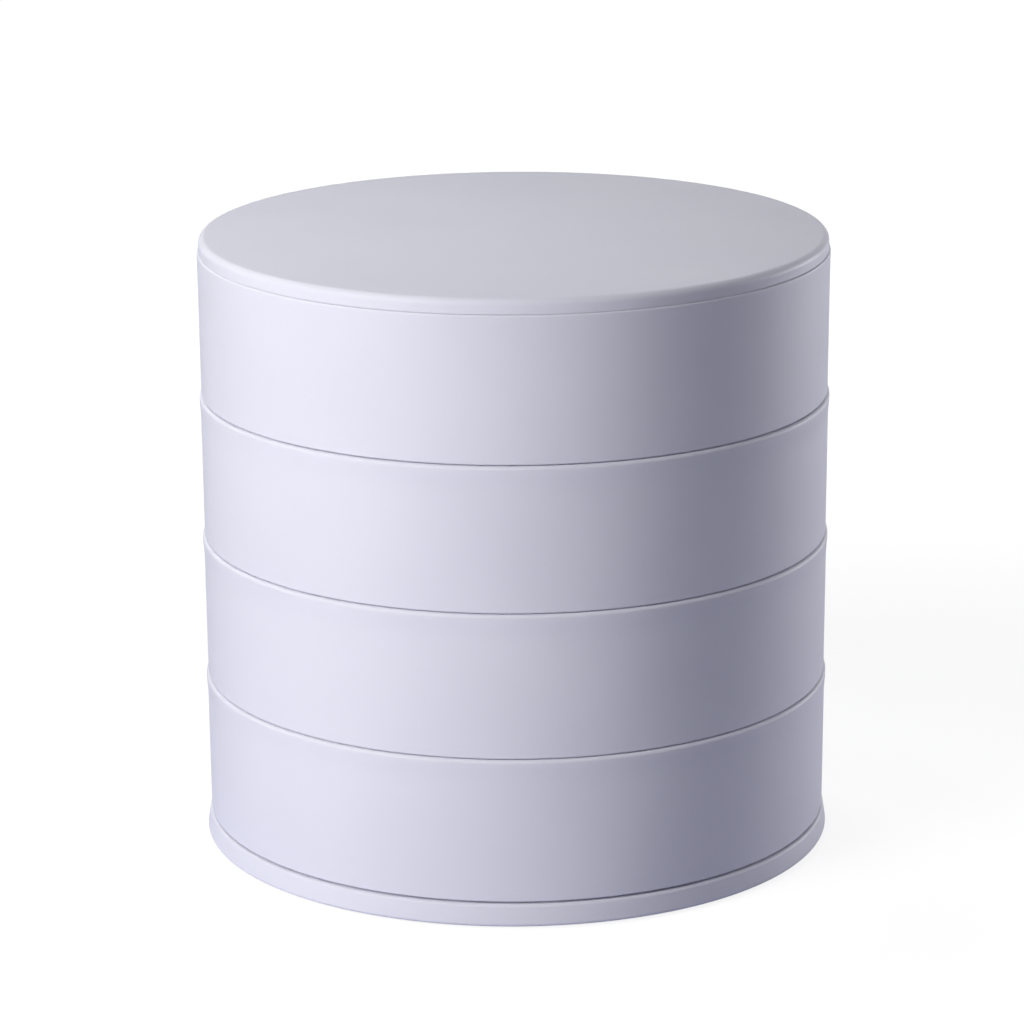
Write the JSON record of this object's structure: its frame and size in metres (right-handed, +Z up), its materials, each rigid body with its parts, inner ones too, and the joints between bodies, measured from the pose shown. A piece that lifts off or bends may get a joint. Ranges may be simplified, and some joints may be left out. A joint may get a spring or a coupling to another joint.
{
  "type": "rotating jewelry organizer",
  "caption": "Round jewelry box: stacked white plastic trays between a base and a flat lid, each swinging out on one bolt near the edge.",
  "frame": {"origin": "on the surface that the feet stand on, under the middle of the round stack", "axes": "+Z up the stack, along the pivot; +Y from the middle towards the pivot at the back; -Y is the front; +X to the right seen from the front"},
  "size_m": [0.1026, 0.1026, 0.1001],
  "materials": {
    "shell_plastic": "satin moulded",
    "foot_rubber": "matte",
    "bolt_steel": "zinc plated",
    "spring_steel": "oiled",
    "insert_brass": "turned",
    "washer_nylon": "natural",
    "roll_velvet": "flocked velvet",
    "roll_card": "pressed board"
  },
  "bodies": {
    "base": {"base_plate": "shell_plastic", "base_feet": "foot_rubber", "spring_washer": "spring_steel"},
    "lid": {"lid": "shell_plastic", "lid_insert": "insert_brass", "pivot_bolt": "bolt_steel", "lid_washer": "washer_nylon"},
    "tray_1": {"tray_1": "shell_plastic", "tray_1_washer": "washer_nylon", "ring_card": "roll_card", "ring_roll_1": "roll_velvet", "ring_roll_2": "roll_velvet", "ring_roll_3": "roll_velvet", "ring_roll_4": "roll_velvet", "ring_roll_5": "roll_velvet", "ring_roll_6": "roll_velvet"},
    "tray_2": {"tray_2": "shell_plastic", "tray_2_washer": "washer_nylon"},
    "tray_3": {"tray_3": "shell_plastic", "tray_3_washer": "washer_nylon"},
    "tray_4": {"tray_4": "shell_plastic", "tray_4_washer": "washer_nylon"}
  },
  "joints": [
    {"name": "lid_turn", "type": "hinge", "parent": "base", "child": "lid", "pos_m": [0, 0.04269, 0.0977], "axis": [0, 0, 1], "continuous": true},
    {"name": "tray_1_turn", "type": "hinge", "parent": "base", "child": "tray_1", "pos_m": [0, 0.04269, 0.07445], "axis": [0, 0, 1], "continuous": true},
    {"name": "tray_2_turn", "type": "hinge", "parent": "base", "child": "tray_2", "pos_m": [0, 0.04269, 0.0511], "axis": [0, 0, 1], "continuous": true},
    {"name": "tray_3_turn", "type": "hinge", "parent": "base", "child": "tray_3", "pos_m": [0, 0.04269, 0.02775], "axis": [0, 0, 1], "continuous": true},
    {"name": "tray_4_turn", "type": "hinge", "parent": "base", "child": "tray_4", "pos_m": [0, 0.04269, 0.0044], "axis": [0, 0, 1], "continuous": true}
  ]
}
